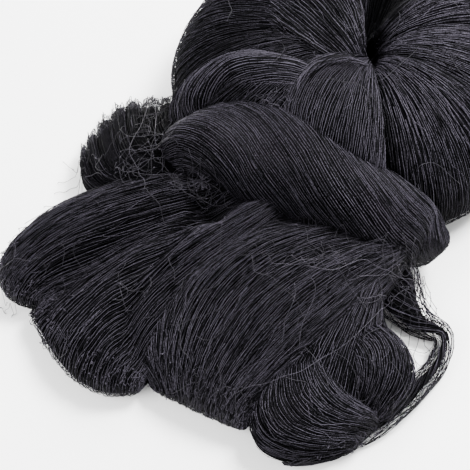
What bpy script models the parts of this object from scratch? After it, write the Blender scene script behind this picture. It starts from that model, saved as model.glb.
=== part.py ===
"""Bird netting, stored as a hank: one black knotted net, folded, gathered and wrapped with its own turn.

+Z is up and the hank lies on the plane z = 0. The tables are in millimetres and the model is in metres.
"""

import math

import bpy
import numpy as np

MM = 0.001
HIGH_RIM, BELLY = 30.0, 24.0  # where the rim is above the first, the fold is only as deep as the second
FLOOR_CUT = 6.0  # how far the soft forms reach under the plane before it cuts them flat
HALF_PI = math.pi / 2

# Folded ends. The strands leave the waist, fan out over the top and turn under at the tip.
# guides: three lines across the fold (left, middle, right), each four plan points from the waist to the tip.
# tops, rims: height of the top and of the rim over those four points. nose: length of the rounded tip.
# folds, fold: how many broad creases run along it and how deep they are.
BIGHTS = {
    "bight_a": {
        "guides": (
            ((0, 38), (-84, 35), (-135, 27), (-164, -18)),
            ((0, 24), (-78, 8), (-134, -8), (-162, -42)),
            ((0, 6), (-58, -16), (-102, -34), (-136, -50)),
        ),
        "tops": (52, 48, 44, 26), "rims": (15, 15, 15, 15), "nose": 24, "folds": 3, "fold": 1.5,
    },
    "bight_b": {
        "guides": (
            ((0, 16), (-60, -2), (-112, -28), (-146, -56)),
            ((4, 4), (-54, -32), (-100, -64), (-117, -98)),
            ((8, -8), (-30, -46), (-68, -82), (-80, -106)),
        ),
        "tops": (52, 52, 42, 28), "rims": (13, 13, 13, 13), "nose": 24, "folds": 4, "fold": 1.8,
    },
    "bight_c": {
        "guides": (
            ((58, 4), (-75, 11), (-104, -58), (-71, -105)),
            ((71, -26), (-4, -35), (-36, -92), (-45, -117)),
            ((80, -27), (50, -82), (-12, -114), (-20, -129)),
        ),
        "tops": (50, 62, 50, 28), "rims": (15, 15, 15, 13), "nose": 24, "folds": 5, "fold": 1.8,
    },
    "bight_d": {
        "guides": (
            ((62, -6), (0, -44), (-30, -96), (-16, -123)),
            ((70, -16), (40, -64), (4, -126), (12, -145)),
            ((78, -24), (32, -80), (100, -81), (62, -119)),
        ),
        "tops": (40, 50, 36, 20), "rims": (12, 12, 12, 12), "nose": 22, "folds": 3, "fold": 1.5,
    },
    "bight_d_right": {
        "guides": (
            ((30, -86), (41, -99), (43, -111), (38, -116)),
            ((43, -78), (58, -92), (58, -111), (47, -120)),
            ((57, -66), (84, -85), (84, -111), (59, -124)),
        ),
        "tops": (34, 48, 42, 22), "rims": (12, 12, 12, 9), "nose": 14, "folds": 3, "fold": 1.2,
    },
    "bight_d_left": {
        "guides": (
            ((-6, -106), (-32, -134), (-8, -161), (38, -141)),
            ((12, -98), (11, -125), (22, -138), (54, -129)),
            ((30, -90), (34, -110), (40, -116), (56, -121)),
        ),
        "tops": (36, 48, 40, 20), "rims": (12, 10, 9, 8), "nose": 12, "folds": 3, "fold": 1.2,
    },
    "middle_bundle": {
        "guides": (
            ((-28, 146), (-18, 118), (2, 92), (42, 80)),
            ((8, 156), (22, 134), (36, 104), (52, 86)),
            ((48, 160), (54, 140), (55, 114), (54, 94)),
        ),
        "tops": (64, 92, 93, 78), "rims": (52, 76, 77, 70), "nose": 12, "folds": 4, "fold": 1.8,
    },
    "centre_fan": {
        "guides": (
            ((54, 88), (22, 98), (-10, 74), (2, 34)),
            ((56, 84), (42, 66), (30, 40), (26, 14)),
            ((58, 82), (62, 58), (64, 34), (62, 6)),
        ),
        "tops": (78, 95, 93, 74), "rims": (68, 72, 72, 60), "nose": 16, "folds": 3, "fold": 1.4,
    },
}

# Where two folds press together: plan line, depth, width.
VALLEYS = (
    (((-134, -57), (-120, -40), (-113, -32), (-99, -20), (-75, -7), (-52, 1)), 10, 8),
    (((-37, 0), (-52, -8), (-69, -31), (-81, -49), (-87, -63), (-85, -85), (-73, -100), (-65, -106)), 10, 8),
    (((-46, 0), (-38, -3)), 15, 10),
)

# The bun: a profile from the dimple, over the top, down the outside and in under it.
BUN_CENTRE = (54, 104)
BUN_HALF = (120, 110)
DIMPLE_HALF = (6, 15)
BUN_PROFILE = (  # share of the way out from the dimple, height
    (0.00, 34), (0.02, 52), (0.07, 66), (0.18, 76), (0.36, 82), (0.55, 81), (0.72, 74), (0.86, 62),
    (0.96, 46), (1.00, 30), (0.98, 14), (0.90, 0), (0.80, -6),
)
BUN_VALLEYS = (  # angle at the dimple, angle at the rim, depth, width in degrees
    (-88, -86, 9, 7),
    (68, 44, 22, 13),
    (108, 112, 7, 10),
    (-30, -38, 3, 6),
    (8, 2, 2.5, 5),
    (176, 184, 2, 6),
)

# Gathered rolls: x, y, z of the middle line, half width, half height.
WRAP = (
    (-56, 38, 32, 15, 18), (-47, 40, 40, 22, 27), (-31, 39, 45, 27, 33), (-8, 32, 46, 30, 35), (18, 18, 46, 29, 35),
    (44, 1, 44, 27, 33), (67, -10, 38, 23, 28), (81, -12, 30, 18, 22), (93, -14, 23, 12, 15),
)
ARCH = (
    (-50, 46, 30, 9, 9), (-53, 59, 38, 12, 12), (-50, 71, 48, 13, 12), (-39, 78, 60, 13, 12), (-24, 80, 70, 13, 12),
    (-6, 76, 75, 12, 11), (10, 70, 76, 11, 10), (26, 64, 72, 9, 8),
)
TAIL = (
    (64, -22, 22, 17, 18), (72, -45, 15, 15, 12), (84, -58, 8, 9, 7), (98, -68, 7, 5, 6), (94, -84, 7, 5, 6),
    (84, -98, 7, 6, 6), (68, -113, 7, 7, 6.5), (44, -129, 7, 8, 7), (22, -138, 7, 7.5, 7), (6, -142, 7, 6, 6),
)
WAIST = (
    (26, -34, 16, 30, 20), (36, -14, 25, 40, 29), (44, 10, 27, 46, 31), (48, 36, 30, 46, 32), (52, 60, 32, 38, 30),
)
ROLLS = {  # rows, strands twisted together, turns over the length, depth of the twist
    "wrap": (WRAP, 3, -0.8, 1.8),
    "arch": (ARCH, 3, 0.4, 0.8),
    "tail": (TAIL, 3, 1.2, 0.7),
    "waist": (WAIST, 4, 0.2, 1.2),
}

# The pleated loose end: x, y, z of the line it leaves the wrap along, of the line it bends over and of its free edge.
FAN_ROOT = ((-38, 10, 34), (-42, 22, 44), (-46, 34, 48), (-50, 46, 48))
FAN_KNEE = ((-119, 13, 28), (-102, 18, 46), (-84, 30, 56), (-62, 52, 54))
FAN_EDGE = (
    (-124, 56, 18), (-121, 67, 16), (-115, 80, 14), (-107, 93, 12), (-98, 103, 11), (-87, 106, 11), (-75, 107, 11),
    (-62, 107, 12),
)
FAN_DROP = 9.0  # how far the free edge turns down
FAN_PLEATS, FAN_PLEAT, FAN_THICK = 7, 2.8, 3.0
FAN_NEIGHBOURS = ("bun", "wrap", "arch", "bight_a", "bight_b")
CLEAR = 0.6  # room between the loose end and its neighbours in the hank


def bernstein(t, n):
    t = np.asarray(t, float)[..., None]
    k = np.arange(n + 1)
    c = np.array([math.comb(n, i) for i in k], float)
    return c * t**k * (1 - t) ** (n - k)


def spline(rows, t):
    """Smooth line through the rows, t from 0 to 1 over the whole line."""
    rows = np.asarray(rows, float)
    ends = np.vstack([2 * rows[0] - rows[1], rows, 2 * rows[-1] - rows[-2]])
    x = np.asarray(t, float) * (len(rows) - 1)
    i = np.clip(x.astype(int), 0, len(rows) - 2)
    f = (x - i)[..., None]
    a, b, c, d = (ends[i + k] for k in range(4))
    return 0.5 * (2 * b + (c - a) * f + (2 * a - 5 * b + 4 * c - d) * f**2 + (3 * b - a - 3 * c + d) * f**3)


def creases(v, s, folds):
    """Broad creases over a fold, -1 to 1: two sets of waves across it that drift as they run along it."""
    v, s = v[None, :], s[:, None]
    deep = np.cos(2 * math.pi * (folds * v + 0.35 * s))
    fine = np.cos(2 * math.pi * (1.7 * folds * v - 0.5 * s) + 1.0)
    return (0.6 * deep + 0.4 * fine) * np.sin(np.minimum(s / 0.25, 1) * HALF_PI)


def pressed(plan):
    """How deep the valleys are at plan points: each is depth * exp(-(d / width)^2), d being the distance to its line."""
    total = np.zeros(plan.shape[:-1])
    for line, depth, width in VALLEYS:
        line = np.array(line, float)
        start, way = line[:-1], np.diff(line, axis=0)
        gap = plan[..., None, :] - start
        t = np.clip((gap * way).sum(-1) / (way**2).sum(-1), 0, 1)
        d = np.linalg.norm(gap - t[..., None] * way, axis=-1).min(axis=-1)
        total = np.maximum(total, depth * np.exp(-((d / width) ** 2)))
    return total


def add_mesh(name, points, faces, collection):
    mesh = bpy.data.meshes.new(name)
    mesh.from_pydata((points * MM).tolist(), [], [list(map(int, f)) for f in faces])
    mesh.update()
    obj = bpy.data.objects.new(name, mesh)
    collection.objects.link(obj)
    return obj


def ring_faces(rings, around):
    """Quads between closed rings of points, outward when the rings run anticlockwise seen from the end."""
    j, i = np.meshgrid(np.arange(rings - 1), np.arange(around), indexing="ij")
    k = (i + 1) % around
    return np.stack([j * around + i, j * around + k, (j + 1) * around + k, (j + 1) * around + i], -1).reshape(-1, 4)


def flip(faces):
    return [list(f)[::-1] for f in faces]


def bight(spec, across=20, along=13, round_steps=4):
    """A fold of gathered net: a plan drawn by three guides, domed across, rounded at its tip.

    Across, an angle b runs from -90 to 90 degrees and the height goes with cos b to a low power;
    at the tip the same law runs along an angle a, so the top turns under in a round nose.
    """
    guides = np.array(spec["guides"], float)
    length = np.linalg.norm(np.diff(guides[1], axis=0), axis=1).sum()
    nose = spec["nose"] / length
    flat = np.linspace(0, 1 - nose, along + 1)[:-1]
    a = np.linspace(0, HALF_PI, round_steps + 1)
    s = np.concatenate([flat, 1 - nose * (1 - np.sin(a))])
    tip = np.concatenate([np.ones(along), np.maximum(np.cos(a), 0) ** 0.8])
    b = np.linspace(-HALF_PI, HALF_PI, across + 1)
    u = np.sin(b)
    dome = np.maximum(np.cos(b), 0) ** 0.75
    crease = spec["fold"] * creases(b / math.pi + 0.5, s, spec["folds"])
    plan_law = np.stack([u * (u - 1) / 2, 1 - u * u, u * (u + 1) / 2], -1)
    plan = np.einsum("sj,ui,ijc->suc", bernstein(s, 3), plan_law, guides)
    tops = bernstein(s, 3) @ np.array(spec["tops"], float)
    rims = bernstein(s, 3) @ np.array(spec["rims"], float)
    rise = (tops[:, None] - rims[:, None] + crease - pressed(plan)) * dome
    fall = np.where(rims < HIGH_RIM, rims + FLOOR_CUT, BELLY)[:, None] * dome
    top = np.dstack([plan, rims[:, None] + rise * tip[:, None]])
    low = np.dstack([plan, rims[:, None] - fall * tip[:, None]])
    around = 2 * across
    rings = np.concatenate([top, low[:, 1:-1][:, ::-1]], axis=1)
    points = rings[:-1].reshape(-1, 3)
    tip_at = len(points)
    points = np.vstack([points, top[-1]])
    faces = [list(f) for f in ring_faces(len(s) - 1, around)]
    last = (len(s) - 2) * around
    for i in range(across):
        faces.append([last + i, last + i + 1, tip_at + i + 1, tip_at + i])
        under, nxt = (around - i) % around, around - i - 1
        faces.append([last + nxt, last + under, tip_at + i, tip_at + i + 1])
    root = len(points)
    points = np.vstack([points, rings[0].mean(axis=0)])
    faces += [[(i + 1) % around, i, root] for i in range(around)]
    return points, flip(faces)


def bun(around=60, rings=18):
    """The folded mass: its profile turned round the dimple, with a valley where two folds meet."""
    profile = spline(BUN_PROFILE, np.linspace(0, 1, rings))
    theta = np.linspace(0, 2 * math.pi, around, endpoint=False)

    def ellipse(half):
        return 1 / np.sqrt((np.cos(theta) / half[0]) ** 2 + (np.sin(theta) / half[1]) ** 2)

    inner, outer = ellipse(DIMPLE_HALF), ellipse(BUN_HALF)
    out = np.clip(profile[:, 0], 0, 1.02)[:, None]
    valley = np.zeros((rings, around))
    for near, far, depth, width in BUN_VALLEYS:
        middle = np.radians(near + (far - near) * out)
        gap = (theta[None, :] - middle + math.pi) % (2 * math.pi) - math.pi
        valley += depth * np.exp(-((gap / math.radians(width)) ** 2)) * np.sin(np.minimum(out / 0.2, 1) * HALF_PI)
    radius = inner + (outer - inner) * out - 0.6 * valley * out
    height = profile[:, 1:2] - valley * (profile[:, 1:2] > 20)
    points = np.dstack([
        BUN_CENTRE[0] + radius * np.cos(theta), BUN_CENTRE[1] + radius * np.sin(theta), height,
    ]).reshape(-1, 3)
    faces = flip(ring_faces(rings, around))
    top, low = len(points), len(points) + 1
    points = np.vstack([points, (*BUN_CENTRE, BUN_PROFILE[0][1] - 4), (*BUN_CENTRE, -FLOOR_CUT)])
    last = (rings - 1) * around
    for i in range(around):
        k = (i + 1) % around
        faces.append([i, k, top])
        faces.append([last + k, last + i, low])
    return points, faces


def roll(rows, strands, turns, depth, around=24, steps=26):
    """A gathered roll: an ellipse carried along a smooth line, its surface twisted like a rope."""
    t = np.linspace(0, 1, steps)
    line = spline(rows, t)
    way = np.gradient(line[:, :3], axis=0)
    way /= np.linalg.norm(way, axis=1)[:, None]
    side = np.cross(way, (0, 0, 1))
    side /= np.linalg.norm(side, axis=1)[:, None]
    up = np.cross(side, way)
    psi = np.linspace(0, 2 * math.pi, around, endpoint=False)
    twist = depth * np.cos(strands * (psi[None, :] - 2 * math.pi * turns * t[:, None]))
    wide = (line[:, 3:4] + twist) * np.cos(psi)
    high = (line[:, 4:5] + twist) * np.sin(psi)
    rings = line[:, None, :3] + side[:, None] * wide[..., None] + up[:, None] * high[..., None]
    points = np.vstack([rings.reshape(-1, 3), line[0, :3] - 0.35 * line[0, 3] * way[0],
                        line[-1, :3] + 0.35 * line[-1, 3] * way[-1]])
    faces = flip(ring_faces(steps, around))
    start, end, last = len(points) - 2, len(points) - 1, (steps - 1) * around
    for i in range(around):
        k = (i + 1) % around
        faces.append([i, k, start])
        faces.append([last + k, last + i, end])
    return points, faces


def fan(across=56, along=10):
    """The loose end: a sheet that leaves the root line, bends over the knee line and ends in the free edge.

    Round pleats with sharp furrows grow from the root as the sheet spreads; each one also carries the free edge out in a scallop,
    and the last fifth of the sheet turns down by a quarter of an ellipse.
    """
    v = np.linspace(0, 1, across + 1)
    s = np.linspace(0, 1, along + 1)
    root, knee = (bernstein(v, 3) @ np.array(line, float) for line in (FAN_ROOT, FAN_KNEE))
    edge = spline(FAN_EDGE, v)
    wave = 2 * np.abs(np.sin(math.pi * FAN_PLEATS * v)) ** 0.5 - 1
    reach = (s[:, None] * (1 + 0.01 * wave[None, :]))[..., None]
    sheet = (1 - reach) ** 3 * root + 3 * reach * (1 - reach) * knee + reach**3 * edge
    plan = sheet[..., :2]
    drop = FAN_DROP * (1 - np.sqrt(1 - (0.96 * np.clip((s - 0.8) / 0.22, 0, 1)) ** 2))
    middle = sheet[..., 2] + FAN_PLEAT * wave * s[:, None] ** 0.8 - drop[:, None]
    top = np.dstack([plan, middle + FAN_THICK / 2])
    low = np.dstack([plan, middle - FAN_THICK / 2])
    n = across + 1
    points = np.vstack([top.reshape(-1, 3), low.reshape(-1, 3)])
    shift = (along + 1) * n
    faces = []
    for j in range(along):
        for i in range(across):
            a = j * n + i
            faces.append([a, a + n, a + n + 1, a + 1])
            faces.append([a + shift + 1, a + shift + n + 1, a + shift + n, a + shift])
    edge_loop = ([i for i in range(n)] + [j * n + across for j in range(1, along + 1)]
                 + [along * n + i for i in range(across - 1, -1, -1)] + [j * n for j in range(along - 1, 0, -1)])
    for a, b in zip(edge_loop, edge_loop[1:] + edge_loop[:1]):
        faces.append([a, b, b + shift, a + shift])
    return points, flip(faces)


def material(name, colour, roughness):
    mat = bpy.data.materials.new(name)
    mat.use_nodes = True
    shader = mat.node_tree.nodes["Principled BSDF"]
    shader.inputs["Base Color"].default_value = (*colour, 1)
    shader.inputs["Roughness"].default_value = roughness
    return mat


def boolean(target, other, operation):
    mod = target.modifiers.new(other.name, "BOOLEAN")
    mod.operation, mod.solver, mod.object = operation, "MANIFOLD", other
    other.hide_render = True
    other.display_type = "WIRE"


def box(name, low, high, collection):
    x, y, z = (np.array([low[i], high[i]], float) for i in range(3))
    points = np.array([(x[i & 1], y[i >> 1 & 1], z[i >> 2]) for i in range(8)])
    faces = [(0, 2, 3, 1), (4, 5, 7, 6), (0, 1, 5, 4), (2, 6, 7, 3), (0, 4, 6, 2), (1, 3, 7, 5)]
    return add_mesh(name, points, faces, collection)


def main():
    for obj in list(bpy.data.objects):
        bpy.data.objects.remove(obj)
    shown = bpy.data.collections.new("bird_netting")
    helpers = bpy.data.collections.new("cutters")
    for collection in (shown, helpers):
        bpy.context.scene.collection.children.link(collection)

    forms = {"bun": bun()}
    forms.update({name: bight(spec) for name, spec in BIGHTS.items()})
    forms.update({name: roll(*spec) for name, spec in ROLLS.items()})
    hank = add_mesh("hank", *forms["bun"], shown)
    for name, form in forms.items():
        if name != "bun":
            boolean(hank, add_mesh(name, *form, helpers), "UNION")
    boolean(hank, box("floor", (-400, -400, -80), (400, 400, 0), helpers), "DIFFERENCE")
    hank.data.materials.append(material("netting_hank", (0.020, 0.020, 0.024), 0.55))

    loose = add_mesh("fan_end", *fan(), shown)
    for name in FAN_NEIGHBOURS:
        room = add_mesh(f"room_{name}", *forms[name], helpers)
        swell = room.modifiers.new("swell", "DISPLACE")
        swell.mid_level, swell.strength = 0.0, CLEAR * MM
        boolean(loose, room, "DIFFERENCE")
    loose.data.materials.append(material("netting_fan_end", (0.023, 0.023, 0.027), 0.55))


main()
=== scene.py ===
"""Bird netting, stored as a hank: dressed with its gathered twine, loose ends and meshes.

Lengths in the tables are in millimetres; the model is in metres, +Z up, resting on z = 0.
"""

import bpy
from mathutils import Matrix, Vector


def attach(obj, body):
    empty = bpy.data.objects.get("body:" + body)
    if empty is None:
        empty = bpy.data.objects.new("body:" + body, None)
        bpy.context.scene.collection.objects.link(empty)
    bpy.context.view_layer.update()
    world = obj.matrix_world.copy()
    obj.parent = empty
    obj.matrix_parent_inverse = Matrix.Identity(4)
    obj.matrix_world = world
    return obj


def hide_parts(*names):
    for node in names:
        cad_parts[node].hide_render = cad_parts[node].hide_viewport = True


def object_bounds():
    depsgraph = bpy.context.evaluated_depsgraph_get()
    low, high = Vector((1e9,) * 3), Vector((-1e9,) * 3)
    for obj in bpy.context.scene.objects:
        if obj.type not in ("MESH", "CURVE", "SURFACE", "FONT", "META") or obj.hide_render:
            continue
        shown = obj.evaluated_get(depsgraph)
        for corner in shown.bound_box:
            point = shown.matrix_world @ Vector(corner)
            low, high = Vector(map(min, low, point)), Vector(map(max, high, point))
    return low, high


bl_info = {
    "name": "Bird netting hank",
    "version": (1, 0, 0),
    "blender": (4, 5, 0),
    "location": "3D View > Sidebar > Netting",
    "description": "Dresses the solids of a stored hank of bird netting with its twine",
    "category": "Object",
}

import functools
import math

import bpy
import numpy as np

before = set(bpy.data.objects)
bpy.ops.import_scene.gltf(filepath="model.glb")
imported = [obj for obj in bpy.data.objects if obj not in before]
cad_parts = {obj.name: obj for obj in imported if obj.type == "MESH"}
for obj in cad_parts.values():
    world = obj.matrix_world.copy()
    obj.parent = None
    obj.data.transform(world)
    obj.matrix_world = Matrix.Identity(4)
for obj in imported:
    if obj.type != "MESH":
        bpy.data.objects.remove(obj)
CAD_BOX = [list(map(float, corner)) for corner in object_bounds()]

MM = 0.001
TURN = 2 * math.pi
QUARTER = math.pi / 2
# The lowest that a skin and the middle of the twine may lie, as x, y, z.
LOW_SKIN, LOW_TWINE = (-math.inf, -math.inf, 0.3), (-math.inf, -math.inf, 0.4)
SINK = 1.2  # how far the skins lie under their forms
NUDGE = 2e-3  # step across or along a form by which its slopes are measured
BRIGHTEST = 1.3  # the lightest tone that a point may have

# ---- the forms that the net is gathered into

# Folded ends: three lines across the fold, each four plan points from the waist to the tip; heights of its
# top and of its rim over those points; length of the rounded tip; number and height of its broad creases.
FOLDS = {
    "fold_a": (
        (((0, 38), (-84, 35), (-135, 27), (-164, -18)),
         ((0, 24), (-78, 8), (-134, -8), (-162, -42)),
         ((0, 6), (-58, -16), (-102, -34), (-136, -50))),
        (52, 48, 44, 26), (15, 15, 15, 15), 24, 3, 1.5,
    ),
    "fold_b": (
        (((0, 16), (-60, -2), (-112, -28), (-146, -56)),
         ((4, 4), (-54, -32), (-100, -64), (-117, -98)),
         ((8, -8), (-30, -46), (-68, -82), (-80, -106))),
        (52, 52, 42, 28), (13, 13, 13, 13), 24, 4, 1.8,
    ),
    "fold_c": (
        (((58, 4), (-75, 11), (-104, -58), (-71, -105)),
         ((71, -26), (-4, -35), (-36, -92), (-45, -117)),
         ((80, -27), (50, -82), (-12, -114), (-20, -129))),
        (50, 62, 50, 28), (15, 15, 15, 13), 24, 5, 1.8,
    ),
    "fold_d": (
        (((62, -6), (0, -44), (-30, -96), (-16, -123)),
         ((70, -16), (40, -64), (4, -126), (12, -145)),
         ((78, -24), (32, -80), (100, -81), (62, -119))),
        (40, 50, 36, 20), (12, 12, 12, 12), 22, 3, 1.5,
    ),
    "fold_d_right": (
        (((30, -86), (41, -99), (43, -111), (38, -116)),
         ((43, -78), (58, -92), (58, -111), (47, -120)),
         ((57, -66), (84, -85), (84, -111), (59, -124))),
        (34, 48, 42, 22), (12, 12, 12, 9), 14, 3, 1.2,
    ),
    "fold_d_left": (
        (((-6, -106), (-32, -134), (-8, -161), (38, -141)),
         ((12, -98), (11, -125), (22, -138), (54, -129)),
         ((30, -90), (34, -110), (40, -116), (56, -121))),
        (36, 48, 40, 20), (12, 10, 9, 8), 12, 3, 1.2,
    ),
    "middle_bundle": (
        (((-28, 146), (-18, 118), (2, 92), (42, 80)),
         ((8, 156), (22, 134), (36, 104), (52, 86)),
         ((48, 160), (54, 140), (55, 114), (54, 94))),
        (64, 92, 93, 78), (52, 76, 77, 70), 12, 4, 1.8,
    ),
    "centre_fan": (
        (((54, 88), (22, 98), (-10, 74), (2, 34)),
         ((56, 84), (42, 66), (30, 40), (26, 14)),
         ((58, 82), (62, 58), (64, 34), (62, 6))),
        (78, 95, 93, 74), (68, 72, 72, 60), 16, 3, 1.4,
    ),
}
# A fold whose rim is lower than HIGH_RIM reaches the floor, FLOOR_CUT past it; any other hangs BELLY down.
HIGH_RIM, BELLY, FLOOR_CUT = 30.0, 24.0, 6.0
VALLEYS = (  # plan line where two folds press together, depth, width
    (((-134, -57), (-120, -40), (-113, -32), (-99, -20), (-75, -7), (-52, 1)), 10, 8),
    (((-37, 0), (-52, -8), (-69, -31), (-81, -49), (-87, -63), (-85, -85), (-73, -100), (-65, -106)), 10, 8),
    (((-46, 0), (-38, -3)), 15, 10),
)

# Middle of the folded mass in plan, its half width and half depth, and those of the dimple on top.
BUN_CENTRE, BUN_HALF, DIMPLE_HALF = (54, 104), (120, 110), (6, 15)
BUN_PROFILE = (  # share of the way out from the dimple, height
    (0.00, 34), (0.02, 52), (0.07, 66), (0.18, 76), (0.36, 82), (0.55, 81), (0.72, 74), (0.86, 62),
    (0.96, 46), (1.00, 30), (0.98, 14), (0.90, 0), (0.80, -6),
)
BUN_VALLEYS = (  # angle at the dimple, angle at the rim, depth, width in degrees
    (-88, -86, 9, 7), (68, 44, 22, 13), (108, 112, 7, 10), (-30, -38, 3, 6), (8, 2, 2.5, 5), (176, 184, 2, 6),
)

ROLL_CAP = 0.098  # how far past its ends a roll's rounded caps are followed
# Gathered rolls: x, y, z of the middle line, half width, half height; then the number, turns and height of
# the twisted strands, how curled the twine is, how far it wanders, how far the skin lies under the form.
ROLLS = {
    "wrap": ((
        (-56, 38, 32, 15, 18), (-47, 40, 40, 22, 27), (-31, 39, 45, 27, 33), (-8, 32, 46, 30, 35),
        (18, 18, 46, 29, 35), (44, 1, 44, 27, 33), (67, -10, 38, 23, 28), (81, -12, 30, 18, 22),
        (93, -14, 23, 12, 15),
    ), 3, -0.8, 1.8, 0.3, 0.2, SINK),
    "arch": ((
        (-50, 46, 30, 9, 9), (-53, 59, 38, 12, 12), (-50, 71, 48, 13, 12), (-39, 78, 60, 13, 12),
        (-24, 80, 70, 13, 12), (-6, 76, 75, 12, 11), (10, 70, 76, 11, 10), (26, 64, 72, 9, 8),
    ), 3, 0.4, 0.8, 0.6, 1.4, SINK),
    "tail": ((
        (64, -22, 22, 17, 18), (72, -45, 15, 15, 12), (84, -58, 8, 9, 7), (98, -68, 7, 5, 6),
        (94, -84, 7, 5, 6), (84, -98, 7, 6, 6), (68, -113, 7, 7, 6.5), (44, -129, 7, 8, 7),
        (22, -138, 7, 7.5, 7), (6, -142, 7, 6, 6),
    ), 3, 1.2, 0.7, 0.7, 1.4, 3.6),
    "waist": ((
        (26, -34, 16, 30, 20), (36, -14, 25, 40, 29), (44, 10, 27, 46, 31), (48, 36, 30, 46, 32),
        (52, 60, 32, 38, 30),
    ), 4, 0.2, 1.2, 0.9, 1.6, SINK),
}

# The pleated loose end: x, y, z of the line where it leaves the wrap, of the line that it bends over and of
# its free edge.
FAN_ROOT = ((-38, 10, 34), (-42, 22, 44), (-46, 34, 48), (-50, 46, 48))
FAN_KNEE = ((-119, 13, 28), (-102, 18, 46), (-84, 30, 56), (-62, 52, 54))
FAN_EDGE = (
    (-124, 56, 18), (-121, 67, 16), (-115, 80, 14), (-107, 93, 12), (-98, 103, 11), (-87, 106, 11),
    (-75, 107, 11), (-62, 107, 12),
)
FAN_DROP, FAN_PLEATS, FAN_PLEAT = 9.0, 7, 2.8  # how far the edge turns down, number and height of the pleats

# Loose threads long enough to tell apart, as plan points from end to end.
LONG_STRAYS = (
    ((-81, 85), (-84, 62), (-89, 40), (-85, 29), (-82, 22), (-79, 14), (-79, 9)),
    ((-76, 84), (-74, 62), (-73, 40), (-70, 34), (-69, 30), (-69, 23)),
    ((-84, 39), (-78, 36), (-64, 38), (-58, 44)),
    ((-96, 41), (-85, 38), (-73, 38), (-61, 34)),
    ((-97, 33), (-98, 30), (-95, 27), (-88, 24), (-76, 22), (-67, 20), (-63, 19), (-61, 13), (-57, 9),
     (-49, 6), (-43, 4)),
    ((-87, 25), (-76, 31), (-68, 30), (-68, 26), (-73, 22)),
    ((-42, 18), (-36, 12), (-34, 9), (-39, 6), (-46, 7), (-52, 10), (-54, 15), (-51, 19), (-43, 18)),
    ((-46, 20), (-45, 14), (-48, 9), (-43, 5)),
    ((-54, 16), (-46, 14), (-39, 11), (-31, 6)),
    ((-55, 12), (-46, 6), (-37, 3), (-27, 4)),
    ((-16, -40), (-14, -49), (-8, -53), (9, -46), (28, -43), (37, -38)),
    ((-6, -40), (-3, -46), (9, -47), (20, -44)),
    ((9, -60), (8, -70), (3, -81), (1, -92)),
    ((36, -59), (41, -55), (56, -50), (68, -46)),
    ((49, -55), (47, -63), (54, -62), (63, -55)),
    ((-27, -119), (-14, -114), (10, -109), (24, -99), (43, -86), (66, -56), (84, -41)),
    ((18, -56), (20, -66), (13, -82), (11, -93)),
    ((14, -48), (30, -52), (48, -44), (60, -46), (80, -42)),
)
FLOOR_THREADS = (  # cut threads beside the loose end, and threads across the gap inside the tail
    ((-120, 40), (-127, 42), (-134, 39), (-141, 37)),
    ((-119, 45), (-127, 52), (-132, 58), (-137, 62)),
    ((-118, 48), (-126, 50), (-133, 46), (-139, 45)),
    ((-119, 36), (-130, 33), (-138, 28), (-146, 28)),
    ((-122, 30), (-134, 26), (-146, 22), (-157, 15)),
    ((73, -60), (74, -66), (72, -70), (70, -73)),
    ((78, -61), (79, -69), (77, -76), (80, -83)),
    ((83, -61), (84, -70), (81, -79), (85, -91)),
    ((88, -61), (87, -70), (90, -78), (88, -84)),
    ((69, -59), (67, -65), (69, -70), (66, -74)),
    ((72, -76), (79, -74), (86, -77), (93, -75)),
)
# Middle of the tangle by the wrap, how many loops stand round it, and the highest that they climb.
STAR, PETALS, STAR_TOP = (-45, 15), 11, 49.0
CURLS = (  # curly threads: plan point, spread in x and y, number, length, lightest tone
    (-76, 46, 8, 14, 18, 34, 0.4), (-72, 82, 9, 10, 8, 24, 0.2), (-94, 24, 7, 4, 8, 18, 0.5),
    (-60, 17, 6, 3, 12, 20, 0.6), (-40, 5, 5, 2, 6, 16, 0.5), (-4, 52, 6, 2, 12, 10, 1.2),
    (36, -42, 20, 6, 22, 30, 0.7), (78, -46, 7, 6, 12, 22, 0.7), (-158, -44, 5, 3, 6, 10, 0.5),
    (-22, -112, 14, 8, 10, 18, 0.4), (-110, 48, 8, 14, 7, 20, 0.3),
)
SHORT_STRAYS = (  # short loose threads: x from, x to, y from, y to, number, length, lightest tone
    (-170, 95, -140, 20, 80, 26, 0.35), (-60, 165, 40, 200, 34, 40, 0.2),
)
FRINGES = (  # frayed rims: fold, number of threads, lowest and highest b in degrees
    ("fold_a", 110, -80, 80), ("fold_b", 110, -80, 80), ("fold_c", 120, -85, 85),
    ("fold_d_left", 40, -85, 0),
)
ROPE = ((8, 50, 72), (9, 56, 79), (15, 63, 86), (23, 68, 90), (33, 72, 92), (43, 73, 92), (54, 72, 87))
TAIL_NET = ((79, -40, 25), (87, -37, 24)), ((67, -56, 21), (99, -63, 9))  # ends of the open net's two edges
# Radius of the loose threads as a share of the twine's thickness, and for each kind of twine how many mm lie
# between knots and what their radius is.
THIN = {"long": 0.42, "cut": 0.40, "star": 0.45, "curl": 0.34, "short": 0.40, "frayed": 0.42, "edge": 0.55}
KNOTS = {"laid": (60, 0.42), "loose": (45, 0.5), "frayed": (9, 0.5)}
# Seeds of the noise in the loose threads.
WINDS, LIFTS, WAVES, TIES, BENDS = 603, 605, (606, 608), 607, 609
# Shaded pockets between the forms: plan point, radius, share of the light that they take (under 0: add).
POCKETS = (
    (70, 142, 10, 0.9), (74, 124, 9, 0.85), (68, 112, 7, 0.8), (-43, 5, 8, 0.85), (-53, 6, 5, 0.7),
    (-69, 60, 12, 0.5), (59, 26, 5, 0.6), (80, 137, 9, 0.75), (75, 122, 6, 0.55),
    (-36, 40, 24, 0.15), (12, 20, 22, -0.12), (-22, 112, 34, 0.12),
)


# ---- sums that every form uses


def together(x, y):
    """Both as arrays of numbers of one shape."""
    return np.broadcast_arrays(np.asarray(x, float), np.asarray(y, float))


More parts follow.
